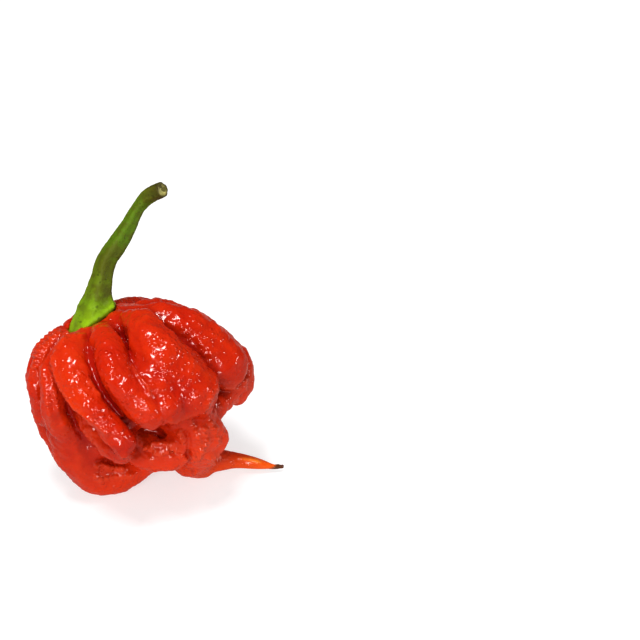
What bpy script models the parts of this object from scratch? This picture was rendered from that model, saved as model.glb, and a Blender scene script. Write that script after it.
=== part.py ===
"""A Carolina reaper chilli pepper as picked, resting on its lobes with its stem in the air.

It is two grown pieces. The pod is one red body with its lobes, its crumpled apex and its pointed
tail. The stem is one green body: the calyx, which sits in a shallow seat on the pod, and the
pedicel that grows out of it, cut at the free end.

The pod is laid out upright in its own frame, in millimetres, and then leaned over to where it
rests. In that frame the origin is the middle of the calyx, Z runs up the pod's axis, and azimuth
is counted in degrees from the pod's front, -Y, towards +X.
"""

import math

import bmesh
import bpy
import numpy as np
from mathutils import Matrix, Vector, noise

MM = 0.001

# The pod's envelope: the lopsided egg that its lobes are laid on. Its shoulder stands higher on the
# left, -X, than on the right.
POD_RADIUS = 18.6
WIDEST_DEPTH = 14.5  # from the calyx down to the widest level
SHOULDER_HEIGHT = 15.6  # from the widest level up to the top of the egg
SHOULDER_POWER = 2.5
BASE_HEIGHT = 13.0  # from the widest level down to the bottom of the egg
BASE_POWER = 3.6
LOPSIDED = 1.0  # how far the widest level rises on the left
LOPSIDED_SHOULDER = 2.6  # how much further the shoulder does

CORE_DEPTH = 4.6  # how far under the envelope the flesh lies that the lobes stand on
BASE_HOLLOW = 4.5  # how much deeper it lies on the underside
CROWN = (-4.0, 7.6, 4.4)  # the ball under the calyx: level, radius, half height

# How the pod lies: spun about its own axis, leaned over, and the lean turned about the vertical.
SPIN = 44
LEAN = 36
HEADING = -27
FLAT_DEPTH = 0.4  # how much of each low point is pressed flat by what it rests on

LOBE_FULLNESS = 0.88  # scales the half widths below; fuller lobes have shallower grooves between them

# Each lobe is a puffed fold through stations on the envelope:
# (degrees down from the stem's pole, azimuth, half width, how proud it stands).
FRONT_LOBES = {
    "right broad": (
        (24, 68, 2.6, -1.4), (38, 66, 3.8, -1.1), (55, 66, 4.4, -1.1), (72, 67, 4.9, -0.9),
        (88, 69, 5.6, -0.2), (99, 70, 5.4, 0.4),
    ),
    "right of middle": (
        (22, 38, 2.4, -1.2), (34, 37, 3.4, -0.4), (53, 26, 4.2, 0.0), (70, 22, 4.8, 0.1),
        (80, 24, 5.4, 0.1), (90, 26, 5.8, 0.2), (98, 27, 6.0, 0.3),
    ),
    "middle": (
        (24, -4, 2.2, -1.0), (39, -5, 2.9, -0.1), (53, -7, 3.1, 0.1), (66, -9, 3.2, 0.2),
        (77, -9, 3.3, 0.3), (86, -7.5, 3.6, 0.3), (94, -4, 3.9, 0.3),
    ),
    "between": ((68, 8, 3.4, -2.2), (76, 8, 3.8, -1.3), (85, 7, 4.2, -0.5), (95, 7, 4.4, 0.1)),
    "left of middle": (
        (26, -32, 2.3, -0.8), (37, -37, 3.2, 0.5), (48, -38, 3.5, 1.1), (59, -36, 3.3, 1.1),
        (69, -33.5, 3.0, 1.1), (77, -31, 2.6, 1.1), (86, -29, 2.5, 0.9), (95, -28, 2.6, 0.7),
        (102, -27, 2.6, 0.4),
    ),
    "behind the middle": (
        (30, -18, 2.4, -1.6), (48, -21, 2.8, -2.0), (62, -21, 2.6, -2.5), (76, -20.5, 2.4, -2.8),
        (88, -19, 2.2, -3.2),
    ),
    "behind the left": (
        (72, -38, 4.8, -4.0), (84, -38, 5.0, -3.4), (95, -38, 4.6, -3.3), (102, -38, 3.4, -3.4),
    ),
    "tucked": (
        (76, -55, 2.2, -4.8), (86, -52, 2.7, -3.8), (94, -49, 3.0, -2.7), (102, -43, 3.0, -1.8),
        (107, -36, 2.8, -1.3),
    ),
    "left inner ridge": (
        (28, -53, 1.5, -0.4), (46, -55, 1.9, 0.1), (57, -56, 2.1, 0.2), (68, -60, 2.3, 0.1),
        (78, -66, 2.4, -0.2), (88, -75, 2.7, -0.9), (98, -83, 3.0, -1.8),
    ),
    "left ridge": (
        (26, -70, 1.5, 0.2), (40, -73, 1.8, 0.5), (54, -77, 1.9, 0.1), (66, -82, 2.2, 0.0),
        (78, -89, 2.7, 0.0),
    ),
    "under left": (
        (35, -68, 5.0, -2.2), (60, -74, 6.8, -2.4), (85, -84, 6.0, -3.0), (100, -92, 5.5, -2.6),
    ),
    "left edge": (
        (26, -92, 1.8, 0.2), (42, -92, 2.2, 0.3), (58, -94, 2.6, 0.1), (76, -98, 3.4, -0.8),
        (94, -104, 4.0, -1.2), (108, -106, 4.0, -1.0),
    ),
}

# The far side's lobes: (azimuth, half width, how proud it stands, degrees down to the last station).
BACK_LOBES = ((-121, 4.2, 0.0, 112), (-142, 4.9, 0.0, 114), (-166, 4.8, 0.0, 110), (169, 5.4, 0.0, 112),
              (144, 5.0, 0.0, 108), (119, 4.8, -1.3, 111), (97, 4.2, -2.4, 110))

# The folds under the lobes, in the pod's frame: (x, y, z, radius).
LOW_FOLDS = {
    "left low": (
        (-14.6, -2.2, -10.6, 2.8), (-15.2, -1.0, -14.2, 3.4), (-15.2, 0.3, -17.9, 4.1),
        (-14.8, 2.8, -21.4, 4.4), (-13.4, 4.4, -24.2, 4.5), (-10.9, 4.3, -25.4, 4.3),
        (-8.5, 4.1, -26.2, 3.5), (-6.4, 3.3, -26.5, 2.6),
    ),
    "left low edge": (
        (-16.0, 3.8, -8.1, 2.1), (-16.5, 4.2, -11.8, 2.6), (-16.5, 4.5, -15.4, 3.1), (-16.3, 5.8, -19.1, 3.3),
        (-15.5, 7.1, -22.2, 3.2),
    ),
    "right low": ((16.2, 0.4, -19.5, 2.6), (15.1, 0.1, -22.6, 2.7), (13.2, -0.4, -24.0, 2.6)),
    "right low end": ((13.6, -2.7, -22.7, 2.2), (11.0, -3.6, -23.3, 2.3), (8.2, -5.5, -23.6, 2.2)),
    "tongue": (
        (3.5, -9.1, -18.2, 5.0), (3.7, -8.4, -22.5, 4.8), (3.5, -4.7, -26.8, 4.0), (2.1, 0.9, -30.0, 3.4),
        (0.8, 6.0, -32.3, 3.0),
    ),
    "flap": (
        (5.9, -8.4, -24.0, 2.0), (6.4, -7.1, -26.2, 1.7), (6.7, -6.3, -28.5, 1.2), (5.0, -5.2, -29.4, 1.6),
    ),
    "tongue ridge": ((2.1, -10.0, -20.8, 1.3), (1.5, -10.2, -22.6, 1.4), (0.8, -9.0, -24.7, 1.3)),
    "flap ridge": ((6.2, -10.1, -22.2, 1.4), (6.5, -9.6, -24.4, 1.5), (6.7, -8.5, -26.6, 1.3)),
    "knob ridge": ((3.0, -8.5, -25.4, 1.5), (3.5, -6.9, -27.5, 1.6), (3.0, -3.7, -29.7, 1.5)),
    "terrace": (
        (-7.0, -1.3, -22.2, 3.0), (-6.0, -3.3, -23.7, 3.0), (-4.3, -4.9, -24.9, 3.0),
        (-2.2, -5.9, -25.9, 3.2),
    ),
    "ledge": (
        (-5.4, -4.3, -21.0, 1.6), (-4.3, -6.9, -21.6, 1.2), (-3.5, -8.5, -22.4, 1.1),
        (-2.9, -9.5, -23.3, 1.1), (-1.8, -9.5, -23.3, 1.1), (-0.8, -9.7, -23.8, 1.1),
        (0.4, -9.4, -24.9, 1.5),
    ),
    "low left end": ((-6.5, 2.8, -27.0, 2.0), (-4.8, 0.1, -26.7, 2.0), (-3.4, -2.0, -26.4, 1.8)),
    "knob": ((-0.1, 5.2, -30.1, 2.8), (0.3, 6.4, -32.2, 2.9), (1.3, 5.7, -33.4, 2.4)),
    "apex": ((0, 1, -19, 9.0), (0.5, 2.5, -24, 6.5), (0.3, 4.0, -28, 4.6), (0.0, 5.2, -31, 3.3)),
    "tail": (
        (1.8, 5.4, -32.1, 2.9), (3.6, 5.5, -33.8, 2.15), (6.7, 6.0, -36.0, 1.5), (9.2, 5.6, -38.2, 1.2),
        (10.7, 5.3, -39.6, 0.85), (11.6, 5.2, -40.4, 0.5), (13.4, 5.2, -41.7, 0.35),
    ),
    "heel": (
        (-7.8, 13.5, -14.0, 4.2), (-7.7, 13.3, -19.0, 4.5), (-6.8, 11.8, -23.9, 4.4),
        (-5.3, 9.2, -24.5, 3.8),
    ),
}

# Puckers of the skin, coarse and fine: (depth, spacing).
PUCKERS = ((0.45, 5.5), (0.25, 2.7))
PUCKERS_END = -31.0  # the level where they die away towards the tail

# The calyx and the pedicel ring by ring, in the pod's frame: (x, y, z, radius).
STEM = (
    (-0.6, 0.3, -1.2, 2.6), (-0.8, 0.3, -0.7, 4.2), (-0.8, 0.3, -0.1, 4.7), (-0.4, 0.3, 0.5, 4.3),
    (0.9, 0.2, 1.5, 3.3), (1.9, 0.2, 2.3, 2.7), (2.8, 0.1, 3.2, 2.25), (4.3, 0.0, 4.7, 1.87),
    (5.9, 0.1, 6.3, 1.75), (7.3, 0.1, 7.2, 1.72), (9.0, 0.2, 7.9, 1.7), (11.1, 0.4, 8.8, 1.6),
    (13.1, 0.5, 9.8, 1.38), (15.7, 0.5, 11.3, 1.15), (17.3, 0.2, 12.0, 1.2), (18.9, -0.5, 12.4, 1.33),
    (20.3, -1.6, 12.3, 1.38), (21.0, -2.4, 12.2, 1.3),
)
CALYX_RINGS = 4  # how many of those rings face straight up the pod's axis
RIM_RING = 2
TEETH = 5
TOOTH_LENGTH = 0.1  # of the radius
STEM_SIDES = 30
STEM_RIDGE_DEPTH = 0.05  # of the radius
SEAT_GAP = 0.3  # the clearance between the calyx and its seat on the pod
SEAT_RINGS = 8  # how many of the stem's rings the seat is cut round

VOXEL = 0.3
SMOOTHING_PASSES = 6
POD_TRIANGLES = 9600

POD_RED = (0.62, 0.02, 0.008, 1.0)
STEM_GREEN = (0.13, 0.22, 0.02, 1.0)


def clear_scene():
    """Removes whatever the file opened with."""
    for old in list(bpy.data.objects):
        bpy.data.objects.remove(old)


def envelope_point(down, azimuth, raised=0.0):
    """The point of the envelope this many degrees down from the stem's pole, moved out along its normal."""
    a, turn = math.radians(down), math.radians(azimuth)
    out, up = math.sin(a), math.cos(a)
    height, power = (SHOULDER_HEIGHT, SHOULDER_POWER) if up > 0 else (BASE_HEIGHT, BASE_POWER)
    reach = ((out / POD_RADIUS) ** power + (abs(up) / height) ** power) ** (-1 / power)
    out, up = out * reach, up * reach
    slope_out = (out / POD_RADIUS) ** (power - 1) / POD_RADIUS
    slope_up = math.copysign((abs(up) / height) ** (power - 1) / height, up)
    steepness = math.hypot(slope_out, slope_up)
    out += raised * slope_out / steepness
    up += raised * slope_up / steepness
    x = out * math.sin(turn)
    up -= x / POD_RADIUS * (LOPSIDED + LOPSIDED_SHOULDER * math.cos(a))
    return Vector((x, -out * math.cos(turn), up - WIDEST_DEPTH))


def lobe_line(stations):
    """A lobe's middle line, as (x, y, z, radius) points, from its stations on the envelope."""
    line = []
    for down, azimuth, half_width, proud in stations:
        radius = half_width * LOBE_FULLNESS
        line.append((*envelope_point(down, azimuth, proud - radius), radius))
    return line


def back_lobe_stations(azimuth, half_width, proud, last):
    """The stations of a plain lobe, narrow at the stem and full from its middle down."""
    return ((22, azimuth, 2.8, proud), (48, azimuth, 0.75 * half_width, proud),
            (78, azimuth, half_width, proud), (last - 12, azimuth, half_width, proud),
            (last, azimuth, 0.95 * half_width, proud - 0.3))


def add_ball(gathered, centre, radius):
    """Adds a ball to the mesh being gathered."""
    place = Matrix.Translation(Vector(centre) * MM)
    bmesh.ops.create_icosphere(gathered, subdivisions=3, radius=radius * MM, matrix=place)


def add_fold(gathered, line):
    """Adds a round-ended tube of changing radius along a middle line of (x, y, z, radius) points."""
    curve = bpy.data.curves.new("fold", "CURVE")
    curve.dimensions = "3D"
    curve.bevel_depth = MM
    curve.bevel_resolution = 4
    curve.use_fill_caps = True
    curve.resolution_u = 10
    spline = curve.splines.new("BEZIER")
    spline.bezier_points.add(len(line) - 1)
    for point, (x, y, z, radius) in zip(spline.bezier_points, line):
        point.co = Vector((x, y, z)) * MM
        point.radius = radius
        point.handle_left_type = point.handle_right_type = "AUTO"
    holder = bpy.data.objects.new("fold", curve)
    bpy.context.scene.collection.objects.link(holder)
    tube = bpy.data.meshes.new_from_object(holder.evaluated_get(bpy.context.evaluated_depsgraph_get()))
    gathered.from_mesh(tube)
    bpy.data.meshes.remove(tube)
    bpy.data.objects.remove(holder)
    bpy.data.curves.remove(curve)
    for x, y, z, radius in (line[0], line[-1]):
        add_ball(gathered, (x, y, z), radius)


def new_object(name, shape):
    """A linked object that holds the bmesh's shape."""
    mesh = bpy.data.meshes.new(name)
    shape.to_mesh(mesh)
    shape.free()
    thing = bpy.data.objects.new(name, mesh)
    bpy.context.scene.collection.objects.link(thing)
    return thing


def apply_modifiers(thing):
    """Turns an object's evaluated shape into its own mesh."""
    bpy.context.view_layer.update()
    done = bpy.data.meshes.new_from_object(thing.evaluated_get(bpy.context.evaluated_depsgraph_get()))
    thing.modifiers.clear()
    old = thing.data
    thing.data = done
    bpy.data.meshes.remove(old)


def fuse(thing, voxel, passes):
    """Melts overlapping shapes into one skin and rounds the creases between them."""
    remesh = thing.modifiers.new("fuse", "REMESH")
    remesh.mode = "VOXEL"
    remesh.voxel_size = voxel * MM
    smooth = thing.modifiers.new("round", "SMOOTH")
    smooth.factor = 0.5
    smooth.iterations = passes
    apply_modifiers(thing)


def keep_outer_skin(thing):
    """Deletes the skins of the pockets left between the folds: all that doesn't join the topmost point."""
    shape = bmesh.new()
    shape.from_mesh(thing.data)
    found = {max(shape.verts, key=lambda v: v.co.z)}
    edge = list(found)
    while edge:
        fresh = {link.other_vert(v) for v in edge for link in v.link_edges} - found
        found |= fresh
        edge = list(fresh)
    bmesh.ops.delete(shape, geom=[v for v in shape.verts if v not in found], context="VERTS")
    shape.to_mesh(thing.data)
    shape.free()


def make_pod_shape():
    """The pod in its own frame: core, lobes and apex melted into one skin."""
    gathered = bmesh.new()
    core = bmesh.ops.create_icosphere(gathered, subdivisions=4, radius=1.0)
    for vertex in core["verts"]:
        x, y, z = vertex.co
        down = math.degrees(math.atan2(math.hypot(x, y), z))
        hollow = BASE_HOLLOW * max(0.0, min(1.0, (down - 92) / 22))
        vertex.co = envelope_point(down, math.degrees(math.atan2(x, -y)), -CORE_DEPTH - hollow) * MM
    level, radius, half_height = (length * MM for length in CROWN)
    squash = Matrix.Translation((0, 0, level)) @ Matrix.Diagonal((radius, radius, half_height, 1))
    bmesh.ops.create_icosphere(gathered, subdivisions=4, radius=1.0, matrix=squash)
    for stations in FRONT_LOBES.values():
        add_fold(gathered, lobe_line(stations))
    for lobe in BACK_LOBES:
        add_fold(gathered, lobe_line(back_lobe_stations(*lobe)))
    for line in LOW_FOLDS.values():
        add_fold(gathered, line)
    pod = new_object("pod", gathered)
    fuse(pod, VOXEL, SMOOTHING_PASSES)
    keep_outer_skin(pod)
    return pod


def skin_arrays(pod):
    """The places, in millimetres, and the normals of the pod's vertices."""
    count = len(pod.data.vertices)
    places, normals = np.empty(3 * count), np.empty(3 * count)
    pod.data.vertices.foreach_get("co", places)
    pod.data.vertices.foreach_get("normal", normals)
    return places.reshape(-1, 3) / MM, normals.reshape(-1, 3)


def push_skin(pod, places, normals, pushes):
    """Moves every vertex out along its normal by its own push, in millimetres."""
    pod.data.vertices.foreach_set("co", ((places + normals * pushes[:, None]) * MM).ravel())
    pod.data.update()


def pucker(pod):
    """Moves the skin in and out in random puckers that die away towards the tail."""
    places, normals = skin_arrays(pod)
    pushes = np.zeros(len(places))
    for depth, spacing in PUCKERS:
        pushes += [depth * noise.noise(Vector(place) * 1.6 / spacing) for place in places]
    pushes *= np.clip((places[:, 2] - PUCKERS_END) / 6, 0.0, 1.0)
    push_skin(pod, places, normals, pushes)


def loft(name, stations, sides, outline):
    """A closed body of rings round these (x, y, z, radius) stations; outline(i, a) scales ring i's reach."""
    shape = bmesh.new()
    up = Vector((0, 0, 1))
    points = [Vector(p[:3]) for p in stations]
    rings = []
    for i, (x, y, z, radius) in enumerate(stations):
        along = (points[min(i + 1, len(points) - 1)] - points[max(i - 1, 0)]).normalized()
        share = max(0.0, min(1.0, (i - CALYX_RINGS + 1) / 3))
        facing = up.rotation_difference(up.lerp(along, share))
        ring = []
        for side in range(sides):
            a = 2 * math.pi * side / sides
            reach = radius * outline(i, a)
            offset = facing @ Vector((reach * math.cos(a), reach * math.sin(a), 0))
            ring.append(shape.verts.new((Vector((x, y, z)) + offset) * MM))
        rings.append(ring)
    for low, high in zip(rings, rings[1:]):
        for side in range(sides):
            after = (side + 1) % sides
            shape.faces.new((low[side], low[after], high[after], high[side]))
    shape.faces.new(reversed(rings[0]))
    shape.faces.new(rings[-1])
    return new_object(name, shape)


def stem_outline(i, a):
    """The stem's cross-section: five soft ridges, drawn out into teeth at the calyx's rim."""
    crest = math.cos(TEETH * (a - math.pi))
    if i == RIM_RING:
        return 1 + TOOTH_LENGTH * max(0.0, crest) ** 3
    return 1 + STEM_RIDGE_DEPTH * crest * (i > RIM_RING)


def cut_seat(pod, cutters):
    """Cuts the calyx's seat into the pod, clear of the calyx all round."""
    stations = [(x, y, z - SEAT_GAP * (z < 0), radius + SEAT_GAP) for x, y, z, radius in STEM[:SEAT_RINGS]]
    cutter = loft("seat_cutter", stations, STEM_SIDES, stem_outline)
    cutter.data.transform(lying())
    bpy.context.scene.collection.objects.unlink(cutter)
    cutters.objects.link(cutter)
    cutter.hide_render = True
    cutter.display_type = "WIRE"
    boolean = pod.modifiers.new("seat", "BOOLEAN")
    boolean.operation = "DIFFERENCE"
    boolean.solver = "EXACT"
    boolean.object = cutter
    apply_modifiers(pod)
    return cutter


def thin_out(pod):
    """Brings the pod down to its count of triangles."""
    pod.modifiers.new("triangles", "TRIANGULATE")
    apply_modifiers(pod)
    decimate = pod.modifiers.new("thin", "DECIMATE")
    decimate.ratio = POD_TRIANGLES / len(pod.data.polygons)
    decimate.use_collapse_triangulate = True
    apply_modifiers(pod)


def lying():
    """The turn from the pod's own frame to where it rests."""
    return (Matrix.Rotation(math.radians(HEADING), 4, "Z")
            @ Matrix.Rotation(math.radians(-LEAN), 4, "Y")
            @ Matrix.Rotation(math.radians(SPIN), 4, "Z"))


def give_material(thing, colour, roughness):
    """Gives an object its own plain Principled material."""
    material = bpy.data.materials.new(thing.name)
    material.use_nodes = True
    shader = material.node_tree.nodes["Principled BSDF"]
    shader.inputs["Base Color"].default_value = colour
    shader.inputs["Roughness"].default_value = roughness
    thing.data.materials.clear()
    thing.data.materials.append(material)


def move_all(things, shift):
    """Moves the shapes of these objects by the same amount."""
    for thing in things:
        thing.data.transform(Matrix.Translation(shift))


def main():
    """Builds the pepper and sets its lowest points on the floor, its middle over the origin."""
    clear_scene()
    home = bpy.data.collections.new("carolina_reaper_pepper")
    cutters = bpy.data.collections.new("cutters")
    for collection in (home, cutters):
        bpy.context.scene.collection.children.link(collection)
    pod = make_pod_shape()
    pucker(pod)
    stem = loft("stem", STEM, STEM_SIDES, stem_outline)
    for thing in (pod, stem):
        thing.data.transform(lying())
    lowest = min(v.co.z for v in pod.data.vertices)
    floor = lowest + FLAT_DEPTH * MM
    for vertex in pod.data.vertices:
        vertex.co.z = max(vertex.co.z, floor)
    thin_out(pod)
    cutter = cut_seat(pod, cutters)
    corners = [v.co for thing in (pod, stem) for v in thing.data.vertices]
    middle = [(min(c[i] for c in corners) + max(c[i] for c in corners)) / 2 for i in (0, 1)]
    move_all((pod, stem, cutter), (-middle[0], -middle[1], -floor))
    for vertex in pod.data.vertices:
        if vertex.co.z < 0.02 * MM:
            vertex.co.z = 0.0
    for thing in (pod, stem):
        bpy.context.scene.collection.objects.unlink(thing)
        home.objects.link(thing)
    give_material(pod, POD_RED, 0.25)
    give_material(stem, STEM_GREEN, 0.45)


main()
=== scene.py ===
"""A Carolina reaper chilli pepper resting on its lobes: pimpled glossy red pod, mottled green stem."""

import math

import bmesh
import bpy
import numpy as np
from mathutils import Matrix, Vector, noise
from mathutils.bvhtree import BVHTree


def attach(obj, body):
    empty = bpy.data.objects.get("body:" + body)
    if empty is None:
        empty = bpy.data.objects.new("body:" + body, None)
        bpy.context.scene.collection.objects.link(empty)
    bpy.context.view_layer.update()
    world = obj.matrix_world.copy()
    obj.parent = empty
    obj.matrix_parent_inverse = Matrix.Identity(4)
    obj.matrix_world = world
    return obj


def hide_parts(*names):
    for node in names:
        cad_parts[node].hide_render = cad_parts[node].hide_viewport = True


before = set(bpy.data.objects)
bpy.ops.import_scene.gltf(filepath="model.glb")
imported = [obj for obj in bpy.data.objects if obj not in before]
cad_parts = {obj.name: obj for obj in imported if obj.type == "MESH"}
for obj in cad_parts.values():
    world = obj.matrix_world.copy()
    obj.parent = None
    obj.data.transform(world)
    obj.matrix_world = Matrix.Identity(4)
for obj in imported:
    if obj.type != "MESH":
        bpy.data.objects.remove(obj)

# Lengths are in millimetres, but for the floor's and the lights', which are in metres.
MM = 0.001

# How the pod lies, as the CAD source has it: spun, leaned over, and turned; and where its calyx is.
SPIN = 44
LEAN = 36
HEADING = -27
CALYX = Vector((-10.119, 4.365, 31.207))
BODY_DEPTH = 15.0  # from the calyx down to the middle of the body

# The stem ring by ring, in the pod's own frame: (x, y, z, radius).
STEM = (
    (-0.6, 0.3, -1.2, 2.6), (-0.8, 0.3, -0.7, 4.2), (-0.8, 0.3, -0.1, 4.7), (-0.4, 0.3, 0.5, 4.3),
    (0.9, 0.2, 1.5, 3.3), (1.9, 0.2, 2.3, 2.7), (2.8, 0.1, 3.2, 2.25), (4.3, 0.0, 4.7, 1.87),
    (5.9, 0.1, 6.3, 1.75), (7.3, 0.1, 7.2, 1.72), (9.0, 0.2, 7.9, 1.7), (11.1, 0.4, 8.8, 1.6),
    (13.1, 0.5, 9.8, 1.38), (15.7, 0.5, 11.3, 1.15), (17.3, 0.2, 12.0, 1.2), (18.9, -0.5, 12.4, 1.33),
    (20.3, -1.6, 12.3, 1.38), (21.0, -2.4, 12.2, 1.3),
)
CALYX_RINGS = 4  # how many of those rings face straight up the pod's axis
CALYX_TEETH = 5
CALYX_SEAT = 0.18  # how much wider the calyx is than its CAD rings, so that it stands on the pimpled skin
STEM_SIDES = 96
RINGS_BETWEEN = 7  # finer rings laid between two of those above
# The cut end: a raised rim round a sunken pith, as steps inwards and down.
CUT_STEPS = ((0.12, -0.05), (0.35, 0.08), (0.75, 0.32), (1.05, 0.42))
# How lumpy the stem is, from its calyx up.
LUMPS_AT = (0.0, 0.12, 0.2, 0.3, 0.42, 1.0)
LUMPS = (0.0, 0.7, 1.0, 1.0, 0.35, 0.3)

# The camera looks down on the front from this high, this far from the body's middle, with the middle
# this far left of and below the centre of its view.
CAMERA_ELEVATION = 31.42
CAMERA_DISTANCE = 397.51
MIDDLE_LEFT = 30.444
MIDDLE_BELOW = 11.696
CAMERA_LENS = 130

SKIN_VOXEL = 0.23
SKIN_TRIANGLES = 195000
CREASE_DEPTH = 0.2  # how far the skin's hollows are pushed further in

# Where the skin changes down the pod: (height on the pod's own axis, how far on the change is complete).
TO_TAIL = (-20.0, -21.9)
CREASES_SMOOTH = (-19.0, 5.0)
BLISTERS_HIGH = (-26.0, 12.0)
TAIL_SMOOTH = (-33.0, -2.0)
TAIL_TIP = (-40.3, -0.5)
TIP_GROWN = 0.2

# Blisters and waves of the skin: (spacing, height).
BIG_BLISTERS = (1.25, 0.20)
SMALL_BLISTERS = (0.8, 0.09)
WAVES = (2.4, 0.10)

# Folds of the skin on the side that faces the camera, as it sees them: half width, height, how deeply
# beads notch it, and points in millimetres right of and above the body's middle. A height below 0 is a
# crease.
FRONT_FOLDS = {
    "left lobe's rim": (0.32, 0.35, 0.15, (
        (-12.6, 9.5), (-13.9, 7.9), (-14.8, 6.9), (-15.3, 5.2), (-15.1, 3.4), (-14.8, 1.7), (-14.3, 0.3),
        (-13.2, -1.4), (-12.2, -2.8), (-10.8, -4.1), (-9.5, -5.2), (-7.7, -6.4), (-6.7, -7.4),
        (-5.7, -8.1))),
    "on the left lobe": (0.35, 0.4, 0.0, (
        (-9.5, 1.5), (-9.3, 0.9), (-8.6, 0.2), (-8.3, -0.5), (-7.2, -1.5))),
    "beside the broad lobe": (0.4, 0.45, 0.0, (
        (-2.1, 4.1), (-1.4, 2.9), (-0.5, 1.5), (0.3, 0.7), (0.9, 0.0), (1.0, -0.9), (1.5, -1.5))),
    "along the ledge": (0.4, 1.0, 0.3, (
        (0.2, -10.0), (1.2, -10.0), (1.9, -10.5), (2.6, -11.0), (3.1, -11.2), (4.0, -10.5), (5.0, -10.3),
        (6.4, -10.5))),
    "on the ledge": (0.4, 0.6, 0.4, ((1.4, -9.5), (2.6, -9.6), (3.3, -9.5), (4.6, -9.6), (5.8, -9.5))),
    "down the tongue": (0.55, 1.0, 0.4, ((6.2, -6.9), (6.5, -7.6), (6.9, -8.6), (7.3, -9.4))),
    "tongue right": (0.6, 0.8, 0.6, ((10.3, -6.4), (10.8, -8.9), (10.0, -11.0), (9.1, -12.4))),
    "tongue middle": (0.5, 0.7, 0.6, ((8.1, -5.2), (8.9, -7.2), (9.5, -8.9), (9.8, -11.0))),
    "tongue crease": (0.5, -0.6, 0.0, ((7.4, -7.2), (7.9, -9.8), (7.7, -11.5), (8.6, -14.5))),
    "tongue edge": (0.5, 0.6, 0.6, ((11.2, -5.5), (12.0, -6.7), (12.6, -8.3), (12.9, -9.6))),
    "across the tongue": (0.4, 0.7, 0.2, ((11.2, -6.9), (12.2, -6.5), (12.9, -7.1))),
    "knob left": (0.5, 0.7, 0.5, ((6.4, -11.0), (8.1, -13.2), (9.3, -15.0))),
    "knob": (0.45, 0.6, 0.6, ((9.8, -10.7), (8.3, -11.9), (8.1, -13.6))),
    "tail shoulder": (0.4, 0.8, 0.1, ((10.8, -11.8), (11.9, -11.5), (13.1, -11.5))),
    "tail shoulder lower": (0.4, 0.5, 0.0, ((11.2, -11.9), (11.9, -12.7), (12.6, -13.1))),
    "along the tail": (0.3, 0.3, 0.2, ((16.2, -12.0), (18.2, -12.3), (20.3, -12.8))),
    "end of the broad lobe": (0.45, 0.4, 0.0, ((12.8, 0.3), (12.0, -1.0), (11.2, -2.4), (10.7, -3.6))),
    "under the broad lobe": (0.4, 0.4, 0.0, (
        (4.3, -5.7), (5.5, -5.8), (6.4, -5.5), (7.1, -5.1), (7.9, -4.7))),
    "end of the right lobe": (0.4, 0.4, 0.0, ((13.6, 0.0), (15.0, 0.0), (16.2, 0.0), (16.9, 0.3))),
    "right lobe's edge": (0.4, 0.3, 0.0, ((16.7, 0.9), (17.5, 1.3), (18.2, 1.6))),
    "low left upper": (0.5, 0.8, 0.25, (
        (-8.6, -13.5), (-7.4, -13.0), (-6.4, -13.5), (-5.3, -13.8), (-4.1, -13.9), (-3.1, -13.9))),
    "low left lower": (0.5, 0.6, 0.3, (
        (-8.5, -14.8), (-7.4, -15.6), (-5.5, -15.2), (-2.4, -15.0), (-1.6, -14.9))),
    "low middle": (0.4, 0.6, 0.3, ((0.9, -11.7), (1.4, -12.2), (1.8, -12.7))),
    "left lobe's end": (0.4, 0.4, 0.0, ((-4.0, -11.8), (-3.1, -11.6), (-2.0, -11.8))),
    "left ridge": (0.45, 0.35, 0.3, (
        (-13.2, 9.3), (-15.0, 8.3), (-16.2, 7.1), (-16.9, 5.8), (-17.2, 4.5), (-17.2, 2.8), (-17.0, 0.7),
        (-16.5, -2.1), (-16.0, -4.6), (-15.3, -7.2))),
    "left ridge's left": (0.45, 0.55, 0.8, (
        (-13.8, 9.6), (-15.7, 8.6), (-16.9, 7.4), (-17.9, 6.0), (-18.4, 4.5), (-18.6, 2.8))),
    "left edge": (0.45, 0.5, 0.8, ((-14.6, 10.0), (-16.3, 8.9), (-17.5, 7.7), (-18.4, 6.4), (-18.9, 5.0))),
    "inner ridge": (0.5, 0.32, 0.4, (
        (-15.0, 5.6), (-15.7, 3.4), (-15.7, 1.4), (-15.5, 0.0), (-15.0, -2.0), (-14.6, -4.3))),
}
BEAD_SPACING = 0.95
FOLD_REACH = 3.0  # how many half widths a fold's slopes reach
FOLD_TAPER = 0.6  # how far from its ends a fold comes to its full height

STEM_COLOURS = [
    (0.0, (0.12, 0.09, 0.02, 1)), (0.08, (0.17, 0.26, 0.004, 1)), (0.16, (0.25, 0.42, 0.003, 1)),
    (0.27, (0.16, 0.27, 0.003, 1)), (0.36, (0.130, 0.190, 0.002, 1)), (0.50, (0.098, 0.135, 0.002, 1)),
    (0.64, (0.092, 0.172, 0.002, 1)), (0.80, (0.095, 0.165, 0.002, 1)), (0.90, (0.09, 0.10, 0.004, 1)),
    (1.0, (0.05, 0.036, 0.005, 1)),
]
STEM_MOTTLE = (0.085, 0.085, 0.003, 1)
STEM_SPECKS = (0.03, 0.03, 0.003, 1)
# painted shade: the darker green painted into the stem's grooves
STEM_GROOVE_SHADE = (0.02, 0.03, 0.002, 1)
CUT_COLOURS = [(0.1, (0.06, 0.04, 0.01, 1)), (0.4, (0.40, 0.36, 0.12, 1)), (1.0, (0.26, 0.25, 0.10, 1))]
CUT_MOTTLE = (0.10, 0.09, 0.02, 1)

FLOOR_WHITE = (0.36, 0.36, 0.36, 1)
FLOOR_GLOW = (0.66, 0.66, 0.66, 1)
FLOOR_REFLECTED = (0.30, 0.15, 0.13, 1)
FLOOR_RADIUS = 3.0
SURROUND_LIGHT = 0.60
SURROUND_REFLECTED = 0.06
VIEW_GAMMA = 0.88

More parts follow.
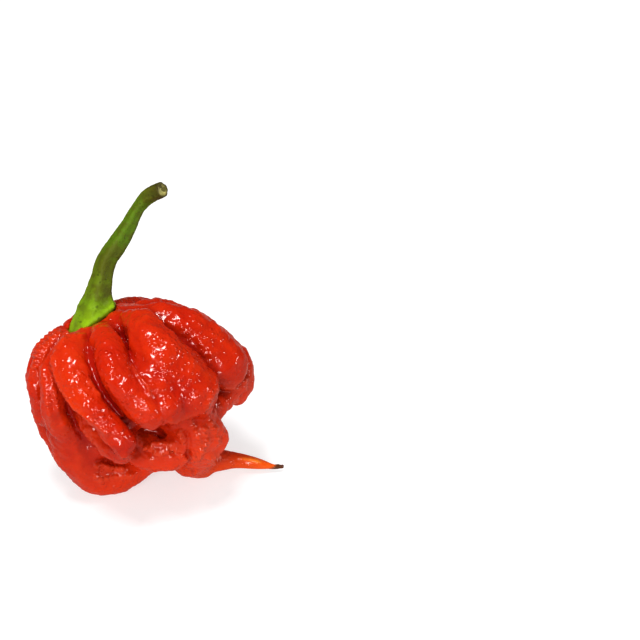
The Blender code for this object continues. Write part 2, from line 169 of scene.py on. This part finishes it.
# The square lights: name, place, size, power and kind. "glint" shows only as a highlight, "fill" makes no
# highlight, and "both" is plain.
LIGHTS = (
    ("key", (-0.08, -0.16, 0.68), 0.16, 3.6, "both"),
    ("front", (-0.16, -0.66, 0.40), 0.20, 2.7, "fill"),
    ("front glint", (-0.12, -0.66, 0.38), 0.11, 2.3, "glint"),
    ("low glint", (0.06, -0.62, 0.11), 0.09, 1.0, "glint"),
    ("right glint", (0.60, -0.14, 0.12), 0.09, 1.1, "glint"),
)
LIT_PLACE = (0, 0, 0.02)

# Pimples of the pod and grain of the stem: (spacing, height).
PIMPLES = (0.85, 0.14)
GRAIN = (0.9, 0.2)

POD_REDS = ((0.43, 0.013, 0.001, 1), (0.50, 0.024, 0.002, 1), (0.56, 0.036, 0.003, 1))
# painted shade: the darker red that the pod's hollows are painted
HOLLOW_SHADE_RED = (0.30, 0.003, 0.001, 1)
# painted highlight: the lighter orange of the folds' ridges, for glints and light showing through thin
# flesh
FOLD_HIGHLIGHT_ORANGE = (0.70, 0.09, 0.02, 1)
# painted highlight: the yellow streak of light along the top of the tail, and where along the tail it
# starts and is full
TAIL_HIGHLIGHT_STREAK = (0.95, 0.42, 0.03, 1)
TAIL_HIGHLIGHT_FROM, TAIL_HIGHLIGHT_FULL = 0.68, 0.8  # shares of the way to the tail's end
TAIL_COLOURS = [
    (0.0, (0.53, 0.026, 0.003, 1)), (0.3, (0.62, 0.036, 0.004, 1)), (0.62, (0.64, 0.042, 0.004, 1)),
    (0.78, (0.68, 0.07, 0.004, 1)), (0.925, (0.72, 0.11, 0.006, 1)), (0.945, (0.10, 0.03, 0.01, 1)),
]


def lying():
    """The turn from the pod's own frame to where it rests."""
    return (Matrix.Rotation(math.radians(HEADING), 3, "Z")
            @ Matrix.Rotation(math.radians(-LEAN), 3, "Y")
            @ Matrix.Rotation(math.radians(SPIN), 3, "Z"))


TURN = lying()
TURN_ARRAY = np.array(TURN)


def to_world(place):
    """A place in the pod's own frame, in millimetres, as one in the scene's frame, in metres."""
    return (TURN @ Vector(place) + CALYX) * MM


def new_object(name, shape):
    """A linked object that holds the bmesh's shape."""
    mesh = bpy.data.meshes.new(name)
    shape.to_mesh(mesh)
    shape.free()
    thing = bpy.data.objects.new(name, mesh)
    bpy.context.scene.collection.objects.link(thing)
    return thing


def apply_modifiers(thing):
    """Turns an object's evaluated shape into its own mesh."""
    bpy.context.view_layer.update()
    done = bpy.data.meshes.new_from_object(thing.evaluated_get(bpy.context.evaluated_depsgraph_get()))
    thing.modifiers.clear()
    old = thing.data
    thing.data = done
    bpy.data.meshes.remove(old)


# ---------------------------------------------------------------- the pod's skin


def merged_copy(node, name):
    """A copy of a CAD node with its doubles merged."""
    shape = bmesh.new()
    shape.from_mesh(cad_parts[node].data)
    bmesh.ops.remove_doubles(shape, verts=shape.verts, dist=1e-6)
    return new_object(name, shape)


def skin_arrays(thing):
    """The places, in millimetres, and the normals of the vertices."""
    count = len(thing.data.vertices)
    places, normals = np.empty(3 * count), np.empty(3 * count)
    thing.data.vertices.foreach_get("co", places)
    thing.data.vertices.foreach_get("normal", normals)
    return places.reshape(-1, 3) / MM, normals.reshape(-1, 3)


def set_places(thing, places):
    """Moves the vertices to these places, in millimetres."""
    thing.data.vertices.foreach_set("co", (places * MM).ravel())
    thing.data.update()


def edge_ends(thing):
    """The two vertices of every edge."""
    ends = np.empty(2 * len(thing.data.edges), dtype=np.int64)
    thing.data.edges.foreach_get("vertices", ends)
    return ends.reshape(-1, 2)


def averaged(values, ends, passes):
    """The values after this many rounds of averaging each vertex with its neighbours."""
    a, b = ends[:, 0], ends[:, 1]
    count = len(values)
    share = np.bincount(a, minlength=count) + np.bincount(b, minlength=count)
    values = values.copy()
    for _ in range(passes):
        for axis in range(values.shape[1]):
            column = values[:, axis]
            total = np.bincount(a, column[b], count) + np.bincount(b, column[a], count)
            values[:, axis] = 0.5 * column + 0.5 * total / share
    return values


def noise_at(places, spacing, seed=0.0):
    """Smooth noise from about -1 to 1 at these places, with this spacing in millimetres."""
    shift = Vector((seed, seed * 1.7, -seed))
    return np.array([noise.noise(Vector(p) * 1.6 / spacing + shift) for p in places])


def blisters_at(places, spacing, seed=0.0):
    """Round bumps from 0 to 1, one to a cell, with this spacing in millimetres."""
    shift = Vector((seed, -seed, seed * 1.3))
    near = np.array([noise.voronoi(Vector(p) / spacing + shift)[0][0] for p in places])
    return np.clip(1 - (near / 0.68) ** 2, 0, 1) ** 2


def as_seen(places):
    """Where the camera sees these places: millimetres right of and above the body's middle."""
    eye, back, right, up = (np.array(v) for v in camera_axes())
    offset = places - eye
    scale = CAMERA_DISTANCE / -(offset @ back)
    return np.stack((offset @ right * scale + MIDDLE_LEFT, offset @ up * scale + MIDDLE_BELOW), 1)


def in_sight(thing, places, normals, chosen):
    """Which of the chosen vertices the camera sees."""
    eye, back, _, _ = camera_axes()
    tree = BVHTree.FromObject(thing, bpy.context.evaluated_depsgraph_get())
    seen = np.zeros(len(places), dtype=bool)
    for i in np.nonzero(chosen & (normals @ np.array(back) > 0.05))[0]:
        start = Vector(places[i] + 0.3 * normals[i]) * MM
        seen[i] = tree.ray_cast(start, eye * MM - start)[0] is None
    return seen


def fold_pushes(thing, places, normals, ends):
    """How far the folds drawn on the front push each vertex out."""
    seen_at = as_seen(places)
    pushes = np.zeros(len(places))
    for half_width, height, beading, points in FRONT_FOLDS.values():
        near, along = np.full(len(places), 1e9), np.zeros(len(places))
        corners = np.array(points)
        done = 0.0
        for first, last in zip(corners, corners[1:]):
            run = last - first
            length = np.linalg.norm(run)
            share = np.clip((seen_at - first) @ run / length ** 2, 0, 1)
            gap = np.linalg.norm(seen_at - first - share[:, None] * run, axis=1)
            closer = gap < near
            near[closer] = gap[closer]
            along[closer] = done + share[closer] * length
            done += length
        fade = np.clip(np.minimum(along, done - along) / FOLD_TAPER + 0.3, 0, 1)
        beads = 1 - beading * (0.5 + 0.5 * np.cos(2 * math.pi * along / BEAD_SPACING))
        reached = near < FOLD_REACH * half_width
        pushes += np.where(reached, height * np.exp(-(near / half_width) ** 2) * fade * beads, 0)
    touched = np.abs(pushes) > 0.005
    seen = in_sight(thing, places, normals, touched).astype(float)
    return pushes * averaged(seen[:, None], ends, 4)[:, 0] ** 2


def set_mask(thing, name, values):
    """Keeps one number a vertex under this name, for the materials."""
    layer = thing.data.attributes.new(name, "FLOAT", "POINT")
    layer.data.foreach_set("value", values.astype(np.float32))


def thin_out(thing, triangles):
    """Brings a mesh of quads down to this many triangles, mostly where it is smooth."""
    decimate = thing.modifiers.new("thin", "DECIMATE")
    decimate.ratio = min(1.0, triangles / (2 * len(thing.data.polygons)))
    apply_modifiers(thing)


def change(heights, start, length):
    """0 before the start and 1 this far past it; a length below 0 runs down the pod."""
    return np.clip((heights - start) / length, 0, 1)


def make_pod_skin():
    """The pod's skin: the CAD pod made fine, with sharper creases, blisters and folds."""
    skin = merged_copy("pod", "pod_skin")
    finer = skin.modifiers.new("finer", "SUBSURF")
    finer.levels = finer.render_levels = 1
    remesh = skin.modifiers.new("even", "REMESH")
    remesh.mode = "VOXEL"
    remesh.voxel_size = SKIN_VOXEL * MM
    smooth = skin.modifiers.new("round", "SMOOTH")
    smooth.factor = 0.5
    smooth.iterations = 6
    apply_modifiers(skin)

    ends = edge_ends(skin)
    places, normals = skin_arrays(skin)
    # creases: where the skin lies under its own average, it is pushed further in
    broad = averaged(places, ends, 60)
    standing = ((places - broad) * normals).sum(1)
    hollow = np.clip(-standing / 0.5, 0, 1.5)
    places = places - normals * (CREASE_DEPTH * hollow)[:, None]
    set_places(skin, places)
    places, normals = skin_arrays(skin)

    heights = ((places - np.array(CALYX)) @ TURN_ARRAY)[:, 2]  # on the pod's own axis, up from its calyx
    # the hollows, where the material paints shade as a darker red
    set_mask(skin, "hollow", np.clip((0.1 - standing) / 0.4, 0, 1))
    set_mask(skin, "to_tail", change(heights, *TO_TAIL))

    # blisters in patches, lower towards the tail and left out of the creases and off the tail's end
    patchy = 0.55 + 0.45 * np.clip(0.5 + 1.4 * noise_at(places, 9.0, 3.0), 0, 1)
    spacing, height = BIG_BLISTERS
    high = np.maximum(change(heights, *BLISTERS_HIGH), 0.6)
    pushes = height * blisters_at(places, spacing, 5.0) * patchy * high
    spacing, height = SMALL_BLISTERS
    pushes += height * blisters_at(places, spacing, 9.0) * patchy
    spacing, height = WAVES
    pushes += height * noise_at(places, spacing, 1.0)
    calm = np.clip(hollow, 0, 1) * change(heights, *CREASES_SMOOTH)
    set_mask(skin, "rough", 1 - calm)
    pushes *= (1 - change(heights, *TAIL_SMOOTH)) * (1 - 0.8 * calm)

    folds = fold_pushes(skin, places, normals, ends)
    # the folds, where the material paints highlights on the ridges and along the tail's top
    set_mask(skin, "fold", np.clip(folds / 0.5, 0, 1))
    pushes += folds + TIP_GROWN * change(heights, *TAIL_TIP)
    places = places + normals * pushes[:, None]
    places[:, 2] = np.maximum(places[:, 2], 0)  # nothing goes under the floor
    set_places(skin, places)
    thin_out(skin, SKIN_TRIANGLES)
    for face in skin.data.polygons:
        face.use_smooth = True
    return skin


# ---------------------------------------------------------------- the stem's skin


def smooth_stations():
    """The stem's rings with finer ones between them, on a smooth curve: (level, (x, y, z, radius))."""
    points = np.array(STEM, dtype=float)
    last = len(points) - 1
    fine = []
    for i in range(last):
        p0, p1, p2, p3 = (points[min(max(k, 0), last)] for k in (i - 1, i, i + 1, i + 2))
        for step in range(RINGS_BETWEEN):
            t = step / RINGS_BETWEEN
            value = 0.5 * (2 * p1 + (p2 - p0) * t + (2 * p0 - 5 * p1 + 4 * p2 - p3) * t * t
                           + (3 * p1 - p0 - 3 * p2 + p3) * t ** 3)
            fine.append((i + t, value))
    fine.append((float(last), points[last]))
    return fine


def make_stem_skin():
    """The stem: calyx with its teeth, ribbed pedicel, cut end."""
    rings = smooth_stations()
    shape = bmesh.new()
    way_up = shape.verts.layers.float.new("up_stem")
    cut = shape.verts.layers.float.new("cut")
    groove = shape.verts.layers.float.new("groove")
    start = bmesh.ops.create_circle(shape, cap_ends=False, segments=STEM_SIDES, radius=1.0)
    ring = start["verts"]
    up = Vector((0, 0, 1))
    edges = list(shape.edges)
    for k, (level, (x, y, z, radius)) in enumerate(rings):
        before, after = rings[max(k - 1, 0)][1], rings[min(k + 1, len(rings) - 1)][1]
        along = Vector(after[:3] - before[:3]).normalized()
        share = max(0.0, min(1.0, (level - CALYX_RINGS + 1) / 3))
        facing = up.rotation_difference(up.lerp(along, share).normalized())
        if k:
            grown = bmesh.ops.extrude_edge_only(shape, edges=edges)["geom"]
            edges = [e for e in grown if isinstance(e, bmesh.types.BMEdge)
                     and all(v in set(grown) for v in e.verts)]
            ring = [v for v in grown if isinstance(v, bmesh.types.BMVert)]
        for side, vertex in enumerate(ring):
            a = 2 * math.pi * side / STEM_SIDES
            crest = math.cos(CALYX_TEETH * (a - math.pi))
            reach = radius
            tooth = max(0.0, 1 - abs(level - 2.0))
            reach *= 1 + 0.1 * tooth * max(0.0, crest) ** 3 + 0.05 * crest * min(1, max(0, level - 2))
            ridges = 0.03 * noise.noise(Vector((math.cos(a) * 2.4, math.sin(a) * 2.4, level * 0.35)))
            reach *= 1 + ridges * min(1, max(0, level - 2))
            reach += CALYX_SEAT if level < 2.6 else CALYX_SEAT * max(0.0, 1 - (level - 2.6) / 1.5)
            offset = facing @ Vector((reach * math.cos(a), reach * math.sin(a), 0))
            vertex.co = to_world(Vector((x, y, z)) + offset)
            vertex[way_up] = level / (len(STEM) - 1)
            # how far into a groove between the ridges, where the material paints shade
            vertex[groove] = 0.5 - 0.5 * crest

    x, y, z, radius = STEM[-1]
    facing = up.rotation_difference((Vector(STEM[-1][:3]) - Vector(STEM[-2][:3])).normalized())
    for inset, drop in CUT_STEPS:
        grown = bmesh.ops.extrude_edge_only(shape, edges=edges)["geom"]
        ring = [v for v in grown if isinstance(v, bmesh.types.BMVert)]
        edges = [e for e in grown if isinstance(e, bmesh.types.BMEdge) and all(v in ring for v in e.verts)]
        for side, vertex in enumerate(ring):
            a = 2 * math.pi * side / STEM_SIDES
            reach = radius - inset
            offset = facing @ Vector((reach * math.cos(a), reach * math.sin(a), -drop))
            vertex.co = to_world(Vector((x, y, z)) + offset)
            vertex[way_up] = 1.0
            vertex[cut] = inset / radius
    bmesh.ops.holes_fill(shape, edges=edges, sides=0)
    bmesh.ops.recalc_face_normals(shape, faces=shape.faces)
    for face in shape.faces:
        face.smooth = True
    stem = new_object("stem_skin", shape)
    places, normals = skin_arrays(stem)
    up_stem = np.empty(len(places), dtype=np.float32)
    stem.data.attributes["up_stem"].data.foreach_get("value", up_stem)
    lumpy = np.interp(up_stem, LUMPS_AT, LUMPS)
    pushes = lumpy * (0.22 * noise_at(places, 2.6, 4.0) + 0.12 * noise_at(places, 1.2, 7.0))
    pushes += 0.04 * noise_at(places, 0.6, 2.0)
    set_places(stem, places + normals * pushes[:, None])
    return stem


# ---------------------------------------------------------------- materials


def new_material(name):
    """A node material: (material, its nodes, its links, its shader)."""
    material = bpy.data.materials.new(name)
    material.use_nodes = True
    nodes = material.node_tree.nodes
    return material, nodes, material.node_tree.links, nodes["Principled BSDF"]


def node(nodes, kind, **values):
    """A node with these settings."""
    made = nodes.new(kind)
    for key, value in values.items():
        setattr(made, key, value)
    return made


def ramp(nodes, links, source, stops):
    """A colour ramp of (place, colour) stops on this socket."""
    made = nodes.new("ShaderNodeValToRGB")
    elements = made.color_ramp.elements
    elements[0].position, elements[0].color = stops[0]
    elements[1].position, elements[1].color = stops[-1]
    for position, colour in stops[1:-1]:
        elements.new(position).color = colour
    links.new(source, made.inputs["Fac"])
    return made.outputs["Color"]


def feed(links, socket, value):
    """Links another socket to this one, or sets this one's value."""
    if isinstance(value, bpy.types.NodeSocket):
        links.new(value, socket)
    else:
        socket.default_value = value


def mix(nodes, links, share, first, second):
    """A colour mix of two sockets or colours, the second one's part being the share."""
    made = node(nodes, "ShaderNodeMix", data_type="RGBA")
    for index, value in ((0, share), (6, first), (7, second)):  # the factor and the two colours
        feed(links, made.inputs[index], value)
    return made.outputs[2]


def attribute(nodes, name):
    """The Fac socket of a piece's own attribute."""
    made = nodes.new("ShaderNodeAttribute")
    made.attribute_name = name
    return made.outputs["Fac"]


def scalar(nodes, links, operation, first, second=0.0):
    """A Math node's result on two sockets or numbers."""
    made = node(nodes, "ShaderNodeMath", operation=operation)
    for socket, value in zip(made.inputs, (first, second)):
        feed(links, socket, value)
    return made.outputs[0]


def span(nodes, links, value, low, high):
    """A smooth rise from 0 at low to 1 at high; it falls where high is the lower one."""
    made = node(nodes, "ShaderNodeMapRange", interpolation_type="SMOOTHSTEP")
    links.new(value, made.inputs["Value"])
    made.inputs["From Min"].default_value = min(low, high)
    made.inputs["From Max"].default_value = max(low, high)
    made.inputs["To Min"].default_value = 0.0 if low < high else 1.0
    made.inputs["To Max"].default_value = 1.0 if low < high else 0.0
    return made.outputs["Result"]


def soft_noise(nodes, links, place, spacing, detail):
    """Noise from 0 to 1 with this spacing in millimetres."""
    made = nodes.new("ShaderNodeTexNoise")
    made.inputs["Scale"].default_value = 1 / (spacing * MM)
    made.inputs["Detail"].default_value = detail
    links.new(place, made.inputs["Vector"])
    return made.outputs["Fac"]


def make_patches_group():
    """The node group of soft-edged patches of noise: Mask is 1 in a patch and 0 outside it."""
    group = bpy.data.node_groups.new("patches", "ShaderNodeTree")
    group.interface.new_socket("Place", in_out="INPUT", socket_type="NodeSocketVector")
    for name in ("Spacing", "Detail", "Low", "High"):
        group.interface.new_socket(name, in_out="INPUT", socket_type="NodeSocketFloat")
    group.interface.new_socket("Mask", in_out="OUTPUT", socket_type="NodeSocketFloat")
    nodes, links = group.nodes, group.links
    given = nodes.new("NodeGroupInput").outputs
    grain = nodes.new("ShaderNodeTexNoise")
    links.new(given["Place"], grain.inputs["Vector"])
    links.new(scalar(nodes, links, "DIVIDE", 1 / MM, given["Spacing"]), grain.inputs["Scale"])
    links.new(given["Detail"], grain.inputs["Detail"])
    rise = node(nodes, "ShaderNodeMapRange", interpolation_type="SMOOTHSTEP")
    links.new(grain.outputs["Fac"], rise.inputs["Value"])
    links.new(given["Low"], rise.inputs["From Min"])
    links.new(given["High"], rise.inputs["From Max"])
    links.new(rise.outputs["Result"], nodes.new("NodeGroupOutput").inputs["Mask"])
    return group


def patches(nodes, links, place, spacing, detail, low, high):
    """A mask of soft-edged patches of noise: spacing in millimetres, edges from low to high."""
    made = nodes.new("ShaderNodeGroup")
    made.node_tree = bpy.data.node_groups.get("patches") or make_patches_group()
    links.new(place, made.inputs["Place"])
    for name, value in (("Spacing", spacing), ("Detail", detail), ("Low", low), ("High", high)):
        made.inputs[name].default_value = value
    return made.outputs["Mask"]


def pimples(nodes, links, place, spacing):
    """Round pimples from 0 to 1, one to a cell, with this spacing in millimetres."""
    cells = node(nodes, "ShaderNodeTexVoronoi", feature="F1")
    cells.inputs["Scale"].default_value = 1 / (spacing * MM)
    links.new(place, cells.inputs["Vector"])
    return span(nodes, links, cells.outputs["Distance"], 0.5, 0.0)


def bumped(nodes, links, height, depth):
    """A normal bumped by this height, whose 1 stands this many millimetres high."""
    made = nodes.new("ShaderNodeBump")
    made.inputs["Distance"].default_value = depth * MM
    links.new(height, made.inputs["Height"])
    return made.outputs["Normal"]


def pod_material():
    """Glossy red flesh, finely pimpled, orange towards the tail, which ends in a dried tip."""
    material, nodes, links, shader = new_material("pod_red")
    place = nodes.new("ShaderNodeTexCoord").outputs["Object"]
    red = ramp(nodes, links, soft_noise(nodes, links, place, 8.0, 3.0),
               [(0.3, POD_REDS[0]), (0.55, POD_REDS[1]), (0.75, POD_REDS[2])])
    # painted shade: the hollows made a darker red
    crease_shaded = mix(nodes, links, attribute(nodes, "hollow"), red, HOLLOW_SHADE_RED)
    tail = ramp(nodes, links, attribute(nodes, "to_tail"), TAIL_COLOURS)
    weight = ramp(nodes, links, attribute(nodes, "to_tail"), [(0.0, (0, 0, 0, 1)), (0.3, (1, 1, 1, 1))])
    flesh = mix(nodes, links, weight, crease_shaded, tail)
    # painted highlight: the folds' ridges made lighter orange, for glints and light showing through thin
    # flesh
    thin = scalar(nodes, links, "MULTIPLY", attribute(nodes, "fold"), 0.2)
    flesh = mix(nodes, links, thin, flesh, FOLD_HIGHLIGHT_ORANGE)
    # painted highlight: a yellow streak along the top of the tail, on its fold
    on_tail = span(nodes, links, attribute(nodes, "to_tail"), TAIL_HIGHLIGHT_FROM, TAIL_HIGHLIGHT_FULL)
    tail_highlight = scalar(nodes, links, "MULTIPLY", attribute(nodes, "fold"), on_tail)
    tail_highlight = scalar(nodes, links, "MULTIPLY", tail_highlight, 0.7)
    links.new(mix(nodes, links, tail_highlight, flesh, TAIL_HIGHLIGHT_STREAK), shader.inputs["Base Color"])
    spacing, depth = PIMPLES
    spread = patches(nodes, links, place, 5.0, 2.0, 0.35, 0.6)
    raised = span(nodes, links, attribute(nodes, "rough"), 0.4, 1.0)
    fine = scalar(nodes, links, "MULTIPLY", pimples(nodes, links, place, spacing), spread)
    height = scalar(nodes, links, "ADD", fine, soft_noise(nodes, links, place, 1.6, 1.0))
    height = scalar(nodes, links, "MULTIPLY", height, raised)
    links.new(bumped(nodes, links, height, depth), shader.inputs["Normal"])
    shader.inputs["Roughness"].default_value = 0.17
    shader.inputs["IOR"].default_value = 1.47
    shader.inputs["Subsurface Weight"].default_value = 0.1
    shader.inputs["Subsurface Radius"].default_value = (1.0, 0.25, 0.1)
    shader.inputs["Subsurface Scale"].default_value = 0.0012
    shader.inputs["Specular IOR Level"].default_value = 0.42
    return material


def stem_material():
    """Green stem: bright at the calyx, mottled up the pedicel, painted shade in grooves, cream at the cut.
    """
    material, nodes, links, shader = new_material("stem_green")
    place = nodes.new("ShaderNodeTexCoord").outputs["Object"]
    colour = ramp(nodes, links, attribute(nodes, "up_stem"), STEM_COLOURS)
    mottle = patches(nodes, links, place, 1.8, 5.0, 0.44, 0.62)
    above = span(nodes, links, attribute(nodes, "up_stem"), 0.12, 0.38)
    above = scalar(nodes, links, "ADD", scalar(nodes, links, "MULTIPLY", above, 0.5), 0.15)
    share = scalar(nodes, links, "MULTIPLY", mottle, above)
    colour = mix(nodes, links, share, colour, STEM_MOTTLE)
    specks = patches(nodes, links, place, 0.7, 2.0, 0.62, 0.72)
    colour = mix(nodes, links, scalar(nodes, links, "MULTIPLY", specks, 0.5), colour, STEM_SPECKS)
    # painted shade: the grooves between the ridges made darker
    groove_shade = scalar(nodes, links, "MULTIPLY", attribute(nodes, "groove"), 0.25)
    colour = mix(nodes, links, groove_shade, colour, STEM_GROOVE_SHADE)
    pith = ramp(nodes, links, attribute(nodes, "cut"), CUT_COLOURS)
    pith = mix(nodes, links, patches(nodes, links, place, 0.9, 2.0, 0.42, 0.55), pith, CUT_MOTTLE)
    on_cut = span(nodes, links, attribute(nodes, "cut"), 0.02, 0.12)
    links.new(mix(nodes, links, on_cut, colour, pith), shader.inputs["Base Color"])
    spacing, depth = GRAIN
    grain = soft_noise(nodes, links, place, spacing, 3.0)
    links.new(bumped(nodes, links, grain, depth), shader.inputs["Normal"])
    shader.inputs["Roughness"].default_value = 0.55
    shader.inputs["Specular IOR Level"].default_value = 0.15
    return material


# ---------------------------------------------------------------- stage, camera and lights


def look_at(thing, place, target):
    """Puts a camera or light at a place, facing a target."""
    thing.location = place
    thing.rotation_mode = "QUATERNION"
    thing.rotation_quaternion = (Vector(target) - Vector(place)).to_track_quat("-Z", "Y")


def camera_axes():
    """The camera's place in millimetres, and the directions back to it, to its right and up its view."""
    elevation = math.radians(CAMERA_ELEVATION)
    back = Vector((0, -math.cos(elevation), math.sin(elevation)))
    right = Vector((1, 0, 0))
    up = Vector((0, math.sin(elevation), math.cos(elevation)))
    body = CALYX - TURN @ Vector((0, 0, BODY_DEPTH))
    return body + back * CAMERA_DISTANCE + right * MIDDLE_LEFT + up * MIDDLE_BELOW, back, right, up


def add_camera():
    """The camera, looking down on the pod from the front."""
    place, back, _, _ = camera_axes()
    camera = bpy.data.objects.new("camera", bpy.data.cameras.new("camera"))
    bpy.context.scene.collection.objects.link(camera)
    camera.data.lens = CAMERA_LENS
    look_at(camera, place * MM, (place - back) * MM)
    camera.data.clip_start = 0.01
    bpy.context.scene.camera = camera


def add_light(name, place, size, power, kind):
    """A square light aimed at the pod, which the camera doesn't see."""
    light = bpy.data.lights.new(name, "AREA")
    light.energy = power
    light.size = size
    holder = bpy.data.objects.new(name, light)
    bpy.context.scene.collection.objects.link(holder)
    look_at(holder, place, LIT_PLACE)
    holder.visible_camera = False
    holder.visible_diffuse = kind != "glint"
    holder.visible_glossy = kind != "fill"


def add_world():
    """A white surround that lights softly and shows only faintly as a reflection."""
    world = bpy.data.worlds.new("surround")
    bpy.context.scene.world = world
    world.use_nodes = True
    nodes, links = world.node_tree.nodes, world.node_tree.links
    path = nodes.new("ShaderNodeLightPath")
    lit = nodes.new("ShaderNodeMapRange")
    lit.inputs["To Min"].default_value = SURROUND_LIGHT
    lit.inputs["To Max"].default_value = SURROUND_REFLECTED
    links.new(path.outputs["Is Glossy Ray"], lit.inputs["Value"])
    strength = scalar(nodes, links, "MAXIMUM", lit.outputs["Result"], path.outputs["Is Camera Ray"])
    links.new(strength, nodes["Background"].inputs["Strength"])
    nodes["Background"].inputs["Color"].default_value = (1, 1, 1, 1)


def add_stage():
    """A plain white floor, the surround and the lights."""
    shape = bmesh.new()
    bmesh.ops.create_circle(shape, cap_ends=True, segments=96, radius=FLOOR_RADIUS)
    floor = new_object("floor", shape)
    material, nodes, links, shader = new_material("floor_white")
    reflected = nodes.new("ShaderNodeLightPath").outputs["Is Glossy Ray"]
    links.new(mix(nodes, links, reflected, FLOOR_WHITE, FLOOR_REFLECTED), shader.inputs["Base Color"])
    links.new(mix(nodes, links, reflected, FLOOR_GLOW, FLOOR_REFLECTED), shader.inputs["Emission Color"])
    shader.inputs["Roughness"].default_value = 0.7
    shader.inputs["Emission Strength"].default_value = 1.0
    floor.data.materials.append(material)
    add_world()
    for light in LIGHTS:
        add_light(*light)


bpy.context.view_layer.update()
add_camera()
add_stage()

pod = make_pod_skin()
pod.data.materials.clear()
pod.data.materials.append(pod_material())
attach(pod, "root")
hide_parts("pod")

stem = make_stem_skin()
stem.data.materials.append(stem_material())
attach(stem, "root")
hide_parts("stem")

view = bpy.context.scene.view_settings
view.view_transform = "Standard"
view.gamma = VIEW_GAMMA
